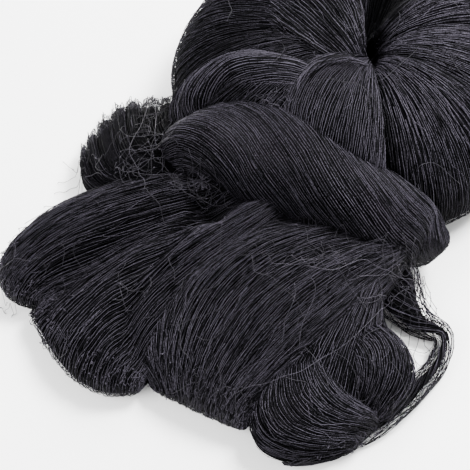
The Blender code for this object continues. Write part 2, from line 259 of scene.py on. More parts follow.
def bernstein(t):
    """The four weights C(3, k) t^k (1 - t)^(3 - k) of a Bezier line."""
    t, k = np.asarray(t, float)[..., None], np.arange(4)
    return (1, 3, 3, 1) * t**k * (1 - t) ** (3 - k)


def spline(rows, t):
    """Smooth line through the rows: a Catmull-Rom cubic between each two, t from 0 to 1 over them all."""
    rows = np.asarray(rows, float)
    ends = np.vstack([2 * rows[0] - rows[1], rows, 2 * rows[-1] - rows[-2]])
    x = np.clip(np.asarray(t, float), 0, 1) * (len(rows) - 1)
    i = np.clip(x.astype(int), 0, len(rows) - 2)
    f = (x - i)[..., None]
    a, b, c, d = (ends[i + k] for k in range(4))
    return 0.5 * (2 * b + (c - a) * f + (2 * a - 5 * b + 4 * c - d) * f**2 + (3 * b - a - 3 * c + d) * f**3)


def unit(v):
    """Each vector over its own length."""
    return v / np.maximum(np.linalg.norm(v, axis=-1, keepdims=True), 1e-9)


def noise(x, y, seed):
    """Smooth random waves from -1 to 1: random numbers on a 64 x 64 grid, blended by 3f^2 - 2f^3."""
    grid = np.random.default_rng(seed).uniform(-1, 1, (64, 64))
    x, y = together(x, y)
    i, j = np.floor(x).astype(int), np.floor(y).astype(int)
    f, g = x - i, y - j
    f, g = f * f * (3 - 2 * f), g * g * (3 - 2 * g)
    i, j, k, m = i % 64, j % 64, (i + 1) % 64, (j + 1) % 64
    near, far = (grid[i, row] * (1 - f) + grid[k, row] * f for row in (j, m))
    return near * (1 - g) + far * g


def creases(v, s, folds):
    """Broad creases, -1 to 1: two sets of cosine waves across the fold that drift as they run along it."""
    deep = np.cos(TURN * (folds * v + 0.35 * s))
    fine = np.cos(TURN * (1.7 * folds * v - 0.5 * s) + 1.0)
    return (0.6 * deep + 0.4 * fine) * np.sin(np.minimum(s / 0.25, 1) * QUARTER)


def locks(v, q, many, seed):
    """Gathered locks, about -0.5 to 1: noise n stretched along the net, as |n|^0.7 for sharp valleys."""
    coarse = noise(many * v, 1.6 * q + 0.37, seed)
    fine = noise(2 * many * v + 0.5, 3.1 * q, seed + 1)
    return 0.9 * np.abs(coarse) ** 0.7 + 0.6 * np.abs(fine) ** 0.7 - 0.5


# ---- each form as a surface at(a, q)


class Form:
    """A surface at(a, q) in mm, a across and q along it, and its flow number, 0 to 1 from side to side.

    many and deep: how many locks lie side by side in it and how far they stand out. across, along: the ranges
    of a and q. threads: how many fine threads are drawn side by side.
    """

    def __init__(self, at, flow, many, deep, seed, across, along, threads, open_to=None):
        self.at, self.flow, self.many, self.deep, self.seed = at, flow, many, deep, seed
        self.across, self.along, self.threads = across, along, threads
        self.open_to = open_to or (lambda a, q: 1.0)  # how much of the light reaches the form, 0 to 1

    def grain(self, a, q):
        """Thread number, tens of mm along and nought: what fine threads are drawn from."""
        a, q = together(a, q)
        return np.stack([self.threads * self.flow(a, q), 9.0 * q, 0 * q], -1)

    def relief(self, a, q):
        """How far the locks stand out."""
        return self.deep * locks(self.flow(a, q), q, self.many, self.seed)

    def beside(self, a, q):
        """From one nudge before each point to one past it, across the flow."""
        return self.at(a + NUDGE, q) - self.at(a - NUDGE, q)

    def normal(self, a, q):
        """Outward normal: slope along the flow crossed with slope across it."""
        return unit(np.cross(self.at(a, q + NUDGE) - self.at(a, q - NUDGE), self.beside(a, q)))

    def skin(self, a, q, sink):
        """The surface with its locks, sunk by that many mm under the twine that lies on it."""
        a, q = together(a, q)
        return self.at(a, q) + self.normal(a, q) * (self.relief(a, q) - sink)[..., None]


def pressed(plan):
    """How deep the valleys are at plan points: each is depth * exp(-(d / width)^2), d from its line."""
    total = np.zeros(plan.shape[:-1])
    for line, depth, width in VALLEYS:
        line = np.array(line, float)
        start, way = line[:-1], np.diff(line, axis=0)
        gap = plan[..., None, :] - start
        t = np.clip((gap * way).sum(-1) / (way**2).sum(-1), 0, 1)
        d = np.linalg.norm(gap - t[..., None] * way, axis=-1).min(axis=-1)
        total = np.maximum(total, depth * np.exp(-((d / width) ** 2)))
    return total


def fold_form(spec, many, deep, seed):
    """A folded end. b runs -90 to 90 degrees across it, as sin b in the plan and cos(b)^0.75 in height;
    q runs 0 to 1 along the top, 1 to 2 round the tip as cos(a)^0.8, and 2 to 3 back underneath."""
    guides, tops, rims = (np.array(rows, float) for rows in spec[:3])
    nose, folds, fold = spec[3:]
    nose = nose / np.linalg.norm(np.diff(guides[1], axis=0), axis=1).sum()

    def flow(b, q):
        return b / math.pi + 0.5

    def at(b, q):
        b, q = together(b, q)
        a = np.clip(q - 1, 0, 1) * math.pi
        s = np.clip(np.where(q < 1.5, q, 3 - q), 0, 1) * (1 - nose) + nose * np.sin(a)
        side = np.where(q < 1.5, 1.0, -1.0)
        tip = np.abs(np.cos(a)) ** 0.8
        u = np.sin(b)
        law = np.stack([u * (u - 1) / 2, 1 - u * u, u * (u + 1) / 2], -1)
        weights = bernstein(s)
        plan = np.einsum("...j,...i,ijc->...c", weights, law, guides)
        top, rim = weights @ tops, weights @ rims
        dome = np.maximum(np.cos(b), 0) ** 0.75
        rise = top - rim + fold * creases(flow(b, q), s, folds) - pressed(plan)
        fall = np.where(rim < HIGH_RIM, rim + FLOOR_CUT, BELLY)
        z = rim + np.where(side > 0, rise, -fall) * dome * tip
        return np.maximum(np.concatenate([plan, z[..., None]], -1), LOW_SKIN)

    return Form(at, flow, many, deep, seed, (-QUARTER, QUARTER), (0.0, 3.0), 150)


def bun_form(deep, seed):
    """The folded mass: its profile (a smooth line through the table) turned round an oval dimple,
    less a bell-shaped valley depth * exp(-(angle / width)^2) wherever two folds meet."""

    def valleys(theta, out):
        total = np.zeros_like(out)
        for near, far, depth, width in BUN_VALLEYS:
            gap = (theta - np.radians(near + (far - near) * out) + math.pi) % TURN - math.pi
            bell = np.exp(-((gap / math.radians(width)) ** 2))
            total += depth * bell * np.sin(np.minimum(out / 0.2, 1) * QUARTER)
        return total

    def open_to(theta, q):
        theta, q = together(theta, q)
        out = spline(BUN_PROFILE, q)[..., 0]
        side_shade = 0.8 + 0.2 * np.cos(theta + 0.5)  # painted shade: its left side, turned from the light, is painted darker
        return side_shade * np.clip(1 - valleys(theta, out) / 6, 0.03, 1) * np.clip(out / 0.12, 0.1, 1)

    def at(theta, q):
        theta, q = together(theta, q)
        line = spline(BUN_PROFILE, q)
        out, high = np.clip(line[..., 0], 0, 1.02), line[..., 1]
        inner, outer = (
            1 / np.sqrt((np.cos(theta) / half[0]) ** 2 + (np.sin(theta) / half[1]) ** 2)
            for half in (DIMPLE_HALF, BUN_HALF)
        )
        valley = valleys(theta, out)
        radius = inner + (outer - inner) * out - 0.6 * valley * out
        z = high - valley * np.clip((high - 14) / 12, 0, 1)
        x, y = BUN_CENTRE[0] + radius * np.cos(theta), BUN_CENTRE[1] + radius * np.sin(theta)
        return np.maximum(np.stack([x, y, z], -1), LOW_SKIN)

    def flow(theta, q):
        return theta / TURN

    return Form(at, flow, 100, deep, seed, (0.0, TURN), (0.0, 1.0), 420, open_to)


def roll_form(spec, many, deep, seed):
    """A gathered roll: an ellipse carried along a smooth line, rounded off past both ends by a quarter circle
    (q under 0 and over 1), with a cosine ripple of the twisted strands."""
    rows, strands, turns, depth = spec[:4]

    def at(psi, q):
        psi, q = together(psi, q)
        t = np.clip(q, 0, 1)
        line, ahead, behind = (spline(rows, t + d) for d in (0, 0.01, -0.01))
        way = unit((ahead - behind)[..., :3])
        side = unit(np.cross(way, (0, 0, 1)))
        up = np.cross(side, way)
        past = np.clip((q - t) / 0.1, -1, 1) * QUARTER
        twist = depth * np.cos(strands * (psi - TURN * turns * t))
        wide = (line[..., 3] + twist) * np.cos(psi) * np.cos(past)
        high = (line[..., 4] + twist) * np.sin(psi) * np.cos(past)
        shift = 0.5 * line[..., 3] * np.sin(past)
        point = line[..., :3] + side * wide[..., None] + up * high[..., None] + way * shift[..., None]
        return np.maximum(point, LOW_SKIN)

    def flow(psi, q):
        return psi / TURN - turns * q

    return Form(at, flow, many, deep, seed, (0.0, TURN), (-0.09, 1.09), 6 * many)


def fan_form(deep, seed):
    """The pleated loose end: lines (1-s)^3 root + 3s(1-s) knee + s^3 edge, raised by pleat * wave * s^0.8,
    the last fifth turned down by a quarter of an ellipse. wave is 2 |sin(pi pleats v)|^0.5 - 1: round ridges
    and sharp furrows."""

    def at(v, s):
        v, s = together(v, s)
        root, knee = (bernstein(np.clip(v, 0, 1)) @ np.array(line, float) for line in (FAN_ROOT, FAN_KNEE))
        edge = spline(FAN_EDGE, v)
        wave = 2 * np.abs(np.sin(math.pi * FAN_PLEATS * v)) ** 0.5 - 1
        last = np.clip((s - 0.8) / 0.22, 0, 1)
        t = (s * (1 + 0.01 * wave))[..., None]
        point = (1 - t) ** 3 * root + 3 * t * (1 - t) * knee + t**3 * edge
        point[..., 2] += FAN_PLEAT * wave * np.clip(s, 0, 2) ** 0.8
        point[..., 2] -= FAN_DROP * (1 - np.sqrt(1 - (0.96 * last) ** 2))
        return point

    def open_to(v, s):
        """The half by the wrap is shaded, but for its free edge."""
        return 1 - 0.65 * np.clip((v - 0.5) / 0.15, 0, 1) * np.clip((0.95 - s) / 0.1, 0, 1)

    def flow(v, s):
        return v

    return Form(at, flow, 26, deep, seed, (0.0, 1.0), (0.0, 1.0), 160, open_to)


LOCKS = {  # how many locks run along a form and how deep they are, where they aren't 40 and 0.4 mm
    "wrap": (60, 0.2), "arch": (24, 0.6), "tail": (10, 0.5), "waist": (50, 0.6), "middle_bundle": (9, 2.0),
    "centre_fan": (34, 0.4), "fold_d_right": (26, 0.5), "fold_d_left": (26, 0.5),
}
# Folds whose skin is coarser.
SMALL = ("middle_bundle", "centre_fan", "fold_d_right", "fold_d_left")


@functools.cache
def forms():
    """Every form of the hank by name, made once."""
    found = {"bun": bun_form(0.5, 11)}
    for order, (name, spec) in enumerate(FOLDS.items()):
        found[name] = fold_form(spec, *LOCKS.get(name, (40, 0.4)), 100 + 20 * order)
    for order, (name, spec) in enumerate(ROLLS.items()):
        found[name] = roll_form(spec, *LOCKS[name], 300 + 20 * order)
    found["loose_end"] = fan_form(0.6, 401)
    return found


# Cells that the hank is looked at through from above: mm of one, their lowest corner and how many they are.
GRID, CORNER, CELLS = 2.5, (-180.0, -165.0), (150, 160)
SAMPLES = 420  # points of a form each way that fill the cells
# How far under its surroundings a point would get no light at all, and the least and most that it gets.
SHADE_DEPTH, SHADE_RANGE = 30, (0.45, 1.1)
EMPTY, UNDER, TOUCH = 1e3, -10.0, 2.0  # heights: where no form is, under all forms, near enough to the floor


def cells(points):
    """The cell that each point is over."""
    return tuple(
        np.clip(((points[..., k] - CORNER[k]) / GRID).astype(int), 0, CELLS[k] - 1) for k in (0, 1)
    )


@functools.cache
def heights():
    """Top and underside of each form over every cell, from points all over it. One that reaches the floor
    counts as solid down to it."""
    found = {}
    for name, form in forms().items():
        a, q = np.linspace(*form.across, SAMPLES), np.linspace(*form.along, SAMPLES)
        points = form.at(a[None, :], q[:, None]).reshape(-1, 3)
        at = cells(points)
        top, low = np.full(CELLS, -EMPTY), np.full(CELLS, EMPTY)
        np.maximum.at(top, at, points[:, 2])
        np.minimum.at(low, at, points[:, 2])
        found[name] = top, np.where((low < TOUCH) | ((name == "bun") & (top > 0)), UNDER, low)
    return found


def buried(points, name, margin=3.0):
    """Whether each point is more than the margin inside a form, bar the named one and the loose end."""
    at = cells(points)
    inside = np.zeros(points.shape[:-1], bool)
    for other, (top, low) in heights().items():
        if other not in (name, "loose_end"):
            inside |= (points[..., 2] < top[at] - margin) & (points[..., 2] > low[at] + margin)
    return inside


@functools.cache
def tops():
    """Height of the highest form over every cell, and 0 where there is none."""
    return functools.reduce(np.maximum, [high for high, _ in heights().values()], np.zeros(CELLS))


def skyline(points):
    """The height of the highest form under each plan point, by the mean of the nearest cells."""
    top = tops()
    x, y = ((points[..., k] - CORNER[k]) / GRID - 0.5 for k in (0, 1))
    i, j = (np.clip(np.floor(w).astype(int), 0, CELLS[k] - 2) for k, w in enumerate((x, y)))
    f, g = np.clip(x - i, 0, 1), np.clip(y - j, 0, 1)
    low, high = (top[i, j + k] * (1 - f) + top[i + 1, j + k] * f for k in (0, 1))
    return low * (1 - g) + high * g


@functools.cache
def surroundings():
    """Mean height of the hank around each cell: three box means of 7 x 7 cells, one after the other."""
    top = tops()
    for _ in range(3):
        for axis in (0, 1):
            top = sum(np.roll(top, shift, axis=axis) for shift in range(-3, 4)) / 7
    return top


def light_on(points):
    """How much light reaches the twine: less where it lies lower than what is around it, and in the pockets,
    each of which takes share * exp(-(d / radius)^2) of it away."""
    light = np.clip(1 + (points[..., 2] - surroundings()[cells(points)]) / SHADE_DEPTH, *SHADE_RANGE)
    for x, y, radius, share in POCKETS:
        away = (points[..., 0] - x) ** 2 + (points[..., 1] - y) ** 2
        light = light * (1 - share * np.exp(-away / radius**2))
    return light


# ---- meshes as whole arrays


class Heap:
    """Points and faces, and each point's tone and place along the flow, gathered until the piece is made."""

    def __init__(self):
        self.points, self.quads, self.tris, self.tones, self.flows, self.count = [], [], [], [], [], 0

    def add(self, points, quads, tris, tone, flow=None):
        points = points.reshape(-1, 3)
        self.flows.append(np.zeros_like(points) if flow is None else flow)
        self.points.append(points)
        self.quads.append(np.asarray(quads, np.int64).reshape(-1, 4) + self.count)
        self.tris.append(np.asarray(tris, np.int64).reshape(-1, 3) + self.count)
        self.tones.append(np.broadcast_to(np.asarray(tone, float).reshape(-1), (len(points),)))
        self.count += len(points)

    def piece(self, name, finish):
        """One mesh object of all that was gathered, in the piece's collection and riding the hank."""
        mesh = bpy.data.meshes.new(name)
        quads, tris = np.concatenate(self.quads), np.concatenate(self.tris)
        corners = np.concatenate([quads.reshape(-1), tris.reshape(-1)]).astype(np.int32)
        starts = np.concatenate([np.arange(len(quads)) * 4, len(quads) * 4 + np.arange(len(tris)) * 3])
        mesh.vertices.add(self.count)
        mesh.vertices.foreach_set("co", (np.concatenate(self.points) * MM).astype(np.float32).reshape(-1))
        mesh.loops.add(len(corners))
        mesh.loops.foreach_set("vertex_index", corners)
        mesh.polygons.add(len(starts))
        mesh.polygons.foreach_set("loop_start", starts.astype(np.int32))
        mesh.polygons.foreach_set("use_smooth", np.ones(len(starts), bool))
        mesh.update(calc_edges=True)
        tone = mesh.attributes.new("tone", "FLOAT", "POINT")
        tone.data.foreach_set("value", np.concatenate(self.tones).astype(np.float32))
        flow = mesh.attributes.new("flow", "FLOAT_VECTOR", "POINT")
        flow.data.foreach_set("vector", np.concatenate(self.flows).astype(np.float32).reshape(-1))
        mesh.materials.append(finish)
        obj = bpy.data.objects.new(name, mesh)
        home().objects.link(obj)
        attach(obj, "root")
        return obj


def tubes(heap, paths, radius, tone, sides=3):
    """Twine along paths (n, m, 3): at each point a ring, centre + radius (cos k S + sin k U),
    with S and U square to the path; both ends are closed."""
    n, m = paths.shape[:2]
    way = unit(np.gradient(paths, axis=1))
    lean = np.where(np.abs(way[..., 2:3]) < 0.93, (0.13, 0.27, 0.95), (0.96, 0.2, 0.19))
    one = unit(np.cross(way, lean))
    two = np.cross(one, way)
    k = np.arange(sides) * TURN / sides
    radius = np.broadcast_to(np.asarray(radius, float), (n, m))[..., None, None]
    round_it = np.cos(k)[:, None] * one[:, :, None] + np.sin(k)[:, None] * two[:, :, None]
    ring = paths[:, :, None] + radius * round_it
    i, j, c = np.meshgrid(np.arange(n), np.arange(m - 1), np.arange(sides), indexing="ij")
    here, there = (i * m + j) * sides, (i * m + j + 1) * sides
    d = (c + 1) % sides
    quads = np.stack([here + c, there + c, there + d, here + d], -1)
    first = np.arange(n)[:, None] * m * sides
    fan = np.array([(0, f, f + 1) for f in range(1, sides - 1)])
    tris = np.concatenate([first[..., None] + fan, first[..., None] + (m - 1) * sides + fan[:, ::-1]])
    tone = np.asarray(tone, float)
    tone = np.broadcast_to(tone if tone.ndim == 2 else tone.reshape(-1, 1), (n, m))
    heap.add(ring, quads, tris, np.repeat(tone, sides, axis=1))


def knots(heap, centres, size, tone):
    """Knots: eight-sided beads, their six points at centre + size along each axis."""
    n = len(centres)
    corner = np.array([(1, 0, 0), (0, 1, 0), (-1, 0, 0), (0, -1, 0), (0, 0, 1), (0, 0, -1)], float)
    size = np.broadcast_to(np.asarray(size, float).reshape(-1), (n,))
    points = centres[:, None] + corner * size[:, None, None]
    face = np.array(
        [(0, 1, 4), (1, 2, 4), (2, 3, 4), (3, 0, 4), (1, 0, 5), (2, 1, 5), (3, 2, 5), (0, 3, 5)]
    )
    tris = np.arange(n)[:, None, None] * 6 + face
    heap.add(points, np.zeros((0, 4)), tris, np.repeat(np.broadcast_to(tone, (n,)), 6))


def ring_quads(rings, around):
    """The quads between rings of points that follow each other."""
    j, i = np.meshgrid(np.arange(rings - 1), np.arange(around), indexing="ij")
    k = (i + 1) % around
    return np.stack([j * around + i, (j + 1) * around + i, (j + 1) * around + k, j * around + k], -1)


def cone(first, around, tip, inward):
    """The triangles from a ring of points, the first of them given, to a tip."""
    i = np.arange(around)
    k = (i + 1) % around
    tip = np.full(around, tip)
    return np.stack([first + k, first + i, tip] if inward else [first + i, first + k, tip], -1)


def capped(rings):
    """Values at the points of each ring, all in a row, then the mean of the first ring and of the last."""
    row = rings.reshape(-1, *rings.shape[2:])
    return np.concatenate([row, rings[:1].mean(axis=1), rings[-1:].mean(axis=1)])


def closed_skin(heap, rings, flow, shade=1.0):
    """A closed skin over rings of points (rings, around, 3), each end drawn in to its middle.

    flow is the flow number and the run at each point, so that fine threads can be drawn along the net; shade
    is how much of the light reaches each point.
    """
    count, around = rings.shape[:2]
    last, tip = (count - 1) * around, count * around
    tris = np.concatenate([cone(0, around, tip, False), cone(last, around, tip + 1, True)])
    heap.add(capped(rings), ring_quads(count, around), tris, capped(light_on(rings) * shade), capped(flow))


def fold_skin(heap, form, across, along):
    """The fold's skin: each ring goes over the top and back underneath, and the last closes along the tip."""
    b = np.linspace(-QUARTER, QUARTER, across + 1)
    q = np.concatenate([np.linspace(0, 1, along, endpoint=False), np.linspace(1, 1.49, 9)])[:, None]
    parts = (b[None, :], q), (b[None, 1:-1][:, ::-1], 3 - q)
    skin, grain = ([form.skin(*part, SINK) for part in parts], [form.grain(*part) for part in parts])
    closed_skin(heap, np.concatenate(skin, axis=1), np.concatenate(grain, axis=1))


# ---- twine laid along a form

# Layers of twine. lift: lowest and highest place over the form. tone: darkest and lightest; the deep layer is
# painted dark, as painted shade under the rest. thin: share of the twine's thickness. step: mm between the
# points of a thread. aside: mm that a thread strays on its own.
LAYERS = {
    "deep": {"lift": (-0.7, 0.1), "tone": (0.02, 0.30), "thin": 1.0, "step": 7.0, "aside": 0.8},
    "regular": {"lift": (0.25, 0.65), "tone": (0.78, 1.06), "thin": 0.95, "step": 5.4, "aside": 0.15},
    "crossing": {"lift": (0.5, 1.1), "tone": (0.55, 1.10), "thin": 0.8, "step": 5.0, "aside": 4.0},
}
THREADS = {  # how many threads of each layer run along each form
    "bun": (200, 760, 420), "fold_a": (50, 122, 130), "fold_b": (44, 114, 120), "fold_c": (56, 246, 280),
    "fold_d": (40, 134, 110), "fold_d_right": (30, 92, 60), "fold_d_left": (36, 104, 80),
    "middle_bundle": (36, 80, 50), "centre_fan": (36, 140, 30), "wrap": (60, 220, 26), "arch": (30, 98, 20),
    "tail": (12, 36, 16), "waist": (40, 78, 24), "loose_end": (90, 168, 40),
}
GAIN = {  # painted light and shade: how much lighter or darker a form's twine is painted, where not 1, for how brightly that form is lit
    "bun": 0.9, "centre_fan": 2.25, "waist": 0.45, "loose_end": 2.15, "arch": 2.1, "fold_b": 1.25,
    "fold_c": 0.88, "middle_bundle": 0.78, "wrap": 0.88,
}
EVERY_OTHER = 0.06, 1.15  # how light the even and the odd threads of a form are, so that they tell apart: the even ones are painted near black, as painted shade in the gaps between lit threads
STEPS_OF = (8, 14, 22, 32, 44, 58)  # numbers of points that a thread can have
LOOKS = 70  # points at which a thread is looked at to see whether it shows
# Lengths in mm of the waves in the twine: in the beat of its meshes, of neighbours together, of a thread on
# its own, of its curls, up and down, and in its painted light and shade along it (stretches painted lighter,
# as glints, or darker, as where it dives into shade).
BEAT, SHOAL, ALONE, CURL, RIDE, GLINT_AND_SHADE = 60, 38, 19, 10, 12, 5
# Where the threads start, over and over, so that they don't crowd where a form narrows.
BUN_STARTS = (0.40, 0.04, 0.40, 0.24, 0.40, 0.14, 0.40, 0.32)
LOOSE_END_STARTS = (0.0, 0.45, 0.0, 0.0, 0.2, 0.45, 0.2, 0.28)


def length_so_far(lines):
    """Distance along each line up to each of its points."""
    return np.cumsum(np.linalg.norm(np.diff(lines, axis=1, prepend=lines[:, :1]), axis=-1), axis=1)


def open_stretch(name, a, start, end, sway):
    """Start and end of each thread without its hidden ends, its length there, and which threads show."""
    form = forms()[name]
    q = start[:, None] + (end - start)[:, None] * np.linspace(0, 1, LOOKS)
    line = form.at(a[:, None] + sway * q, q)
    shows = ~buried(line, name)
    first = np.maximum(shows.argmax(axis=1) - 1, 0)
    last = np.minimum(LOOKS - shows[:, ::-1].argmax(axis=1), LOOKS - 1)
    run = length_so_far(line)
    row = np.arange(len(a))
    return q[row, first], q[row, last], run[row, last] - run[row, first], shows.any(axis=1)


def lay(heap, name, layer, a, start, end, look, seed, curl=0.8, wander=0.6, sway=0.0):
    """Twine on a form: each thread keeps its place a across and runs from start to end along the flow.

    To the side it zigzags between knots as a pulled-tight mesh does, wanders together with its neighbours by
    slow noise, strays by noise of its own and slides off the valleys (by the slope of the locks); up and down
    it rides on the locks with noise of its own, and it is painted darker wherever it lies deep, as painted
    shade.
    """
    form, rule, random = forms()[name], LAYERS[layer], np.random.default_rng(seed)
    first, last, length, shows = open_stretch(name, a, start, end, sway)
    a = a + sway * first
    n, own = len(a), np.arange(len(a)) * 1.37
    phase, level = 0.5 * np.arange(n) + random.uniform(-0.12, 0.12, n), random.uniform(*rule["lift"], n)
    shade = random.uniform(*rule["tone"], n) * np.resize(EVERY_OTHER, n)
    bold = random.uniform(0.8, 1.1, n)
    number = np.searchsorted(STEPS_OF[:-1], length / rule["step"])
    for bucket, steps in enumerate(STEPS_OF):
        pick = np.flatnonzero((number == bucket) & shows)
        if not len(pick):
            continue
        t, mine = np.linspace(0, 1, steps)[None, :], own[pick, None]
        q = first[pick, None] + (last - first)[pick, None] * t
        place = a[pick, None] + sway * (q - first[pick, None])
        per = np.linalg.norm(form.beside(place, q), axis=-1) / (2 * NUDGE)
        place = place + rule["aside"] * noise(2.2 * t, mine, seed + 7) / np.maximum(per, 12)
        base, up, side = form.at(place, q), form.normal(place, q), unit(form.beside(place, q))
        slope = form.relief(place + NUDGE, q) - form.relief(place - NUDGE, q)
        slope = slope / (2 * NUDGE * np.maximum(per, 1e-6))
        run = length_so_far(base)
        group = 0.11 * form.threads * form.flow(place, q)
        beat = run / look.mesh_length + phase[pick, None] + 0.35 * noise(run / BEAT, mine, seed + 2)
        zigzag = 2 * np.abs(2 * (beat - np.floor(beat + 0.5))) - 1
        aside = (
            0.5 * look.spacing * look.looseness * zigzag
            + wander * noise(run / SHOAL, group, form.seed + 3)
            + 0.18 * curl * noise(run / ALONE, mine, seed + 10)
            + 0.15 * curl * noise(run / CURL, mine, seed + 4)
            + 0.12 * np.clip(slope, -1.2, 1.2) * form.deep
        )
        ride = level[pick, None] + (0.25 + 0.5 * curl) * noise(run / RIDE, mine, seed + 5)
        high = form.relief(place, q) + ride
        path = np.maximum(base + side * aside[..., None] + up * high[..., None], LOW_TWINE)
        # painted light and shade: stretches of a thread are painted lighter, as glints, or darker, as where
        # it dives into shade
        pieces = 0.88 + 0.72 * noise(run / GLINT_AND_SHADE, mine, seed + 11)
        # painted shade: a thread is painted darker the deeper it lies
        tone = (shade[pick, None] * pieces) ** 1.3 * (0.6 + 0.5 * np.clip((high + 1.0) / 2.4, 0, 1))
        tone = tone * form.open_to(place, q) * light_on(path) * GAIN.get(name, 1.0)
        thick = 0.5 * look.twine * rule["thin"] * bold[pick, None] * (1 - 0.2 * np.abs(zigzag) ** 6)
        tubes(heap, path, thick, np.clip(tone, 0, BRIGHTEST))
        if layer != "deep":
            tie(heap, path, tone, "laid", seed + 9)


def tie(heap, path, shade, kind, seed):
    """Knots on the threads: about one every so many mm of path, at its own points."""
    (every, size), random = KNOTS[kind], np.random.default_rng(seed)
    gap = np.linalg.norm(np.diff(path, axis=1), axis=-1).mean()
    hit = random.random(path.shape[:2]) < gap / every
    at, tone = path[hit], np.broadcast_to(shade, path.shape[:2])[hit]
    # painted highlight: each knot is painted a little lighter than its thread
    knots(heap, at, random.uniform(0.8, 1.25, len(at)) * size, np.clip(tone + 0.15, 0, BRIGHTEST))


def drape(heap, plan, radius, tone, random, most=99.0):
    """Threads over the hank: plan points (n, m, 2), a little wavy, lifted to the highest form under them, or
    to most where that is lower, and smoothed."""
    m = plan.shape[1]
    wave, own = np.linspace(0, m / 4, m)[None, :], random.uniform(0, 60, (len(plan), 1))
    plan = plan + 0.6 * np.stack([noise(wave, own, seed) for seed in WAVES], -1)
    high = np.minimum(skyline(plan), most)
    for _ in range(2):
        high = np.maximum(high, (np.roll(high, 1, axis=1) + high + np.roll(high, -1, axis=1)) / 3)
        high[:, 0], high[:, -1] = high[:, 1], high[:, -2]
    lift = 1.3 + noise(wave, random.uniform(0, 60, (len(plan), 1)), LIFTS)
    ends = np.minimum(np.arange(m), np.arange(m)[::-1]) < 1
    path = np.maximum(np.concatenate([plan, (high + lift - 2.0 * ends)[..., None]], -1), LOW_TWINE)
    tubes(heap, path, radius, tone)
    tie(heap, path, 0.6, "loose", int(random.integers(1 << 30)))


def heading(angle):
    """Unit vectors in plan that point that way."""
    return np.stack([np.cos(angle), np.sin(angle)], -1)


def curls(heap, row, look, random):
    """Curly threads round a plan point: walks of equal steps whose bend is a slow noise."""
    x, y, wide, deep, count, length, light = row
    steps = 20
    bend = random.normal(0, 0.16, (count, 1))
    bend = bend + 0.42 * noise(np.linspace(0, 6, steps)[None, :], random.uniform(0, 60, (count, 1)), BENDS)
    turn = random.uniform(0, TURN, (count, 1)) + np.cumsum(bend, axis=1)
    pace = random.uniform(0.5, 1.3, (count, 1, 1)) * length / steps
    start = np.array((x, y)) + random.normal(0, 1, (count, 2)) * (wide, deep)
    plan = start[:, None] + np.cumsum(heading(turn) * pace, axis=1)
    plan = plan - (plan.mean(axis=1) - start)[:, None]
    drape(heap, plan, THIN["curl"] * look.twine, random.uniform(0.05, light, count), random)


def rope(heap, rows, count, radius, turns, look, random):
    """A rope: threads wound round a smooth line, each at its own distance out, closing up at both ends."""
    t = np.linspace(0, 1, 44)
    line = spline(rows, t)
    way = unit(np.gradient(line, axis=0))
    side = unit(np.cross(way, (0, 0, 1)))
    up = np.cross(side, way)
    angle = random.uniform(0, TURN, (count, 1)) + TURN * turns * t
    out = radius * np.sqrt(random.uniform(0.1, 1, (count, 1))) * (1 - 0.6 * np.abs(2 * t - 1) ** 3)
    path = line + side * (out * np.cos(angle))[..., None] + up * (out * np.sin(angle))[..., None]
    # painted shade: every other thread of the rope is painted near black, for the shade between its lit
    # threads
    tubes(heap, path, 0.5 * look.twine, random.uniform(0.6, 1.2, count) * np.resize((0.05, 1.0), count))


def open_net(heap, edges, count, rows, sag, look, random):
    """Open net between two edges: thread k leans 0.48 of a space to the right where k + row is odd and to the
    left where it is even, so it meets a neighbour at every row, and is knotted to it there."""
    k, j = np.meshgrid(np.arange(count), np.arange(rows + 1), indexing="ij")
    u, v = ((k + 0.48 * np.where((k + j) % 2, 1, -1)) / (count - 1))[..., None], (j / rows)[..., None]
    (a, b), (c, d) = np.array(edges, float)
    points = (a + (b - a) * u) * (1 - v) + (c + (d - c) * u) * v
    points = points + random.normal(0, 0.3, (count, rows + 1, 3))
    points[..., 2] -= sag * np.sin(math.pi * v[..., 0])
    tubes(heap, points, 0.5 * look.twine, random.uniform(0.2, 0.8, count))
    knots(heap, points[:, 1:-1].reshape(-1, 3), 0.55, 0.6)


# ---- finishes


# How much the fine specks and the clouds of dye and dust move the tone, and what brings their mean to 1.
SPECKS, CLOUDS, LEVEL = 5.6, 0.5, -2.05


def add_node(tree, kind, **values):
    """A node with its sockets, or else its settings, set by name."""
    made = tree.nodes.new(kind)
    for key, value in values.items():
        if key in made.inputs:
            made.inputs[key].default_value = value
        else:
            setattr(made, key, value)
    return made


def maths(tree, operation, *feeds, **values):
    """The output of a maths node that numbers and sockets feed."""
    made = add_node(tree, "ShaderNodeMath", operation=operation, **values)
    for place, feed in zip(made.inputs, feeds):
        if isinstance(feed, float):
            place.default_value = feed
        else:
            tree.links.new(feed, place)
    return made.outputs[0]


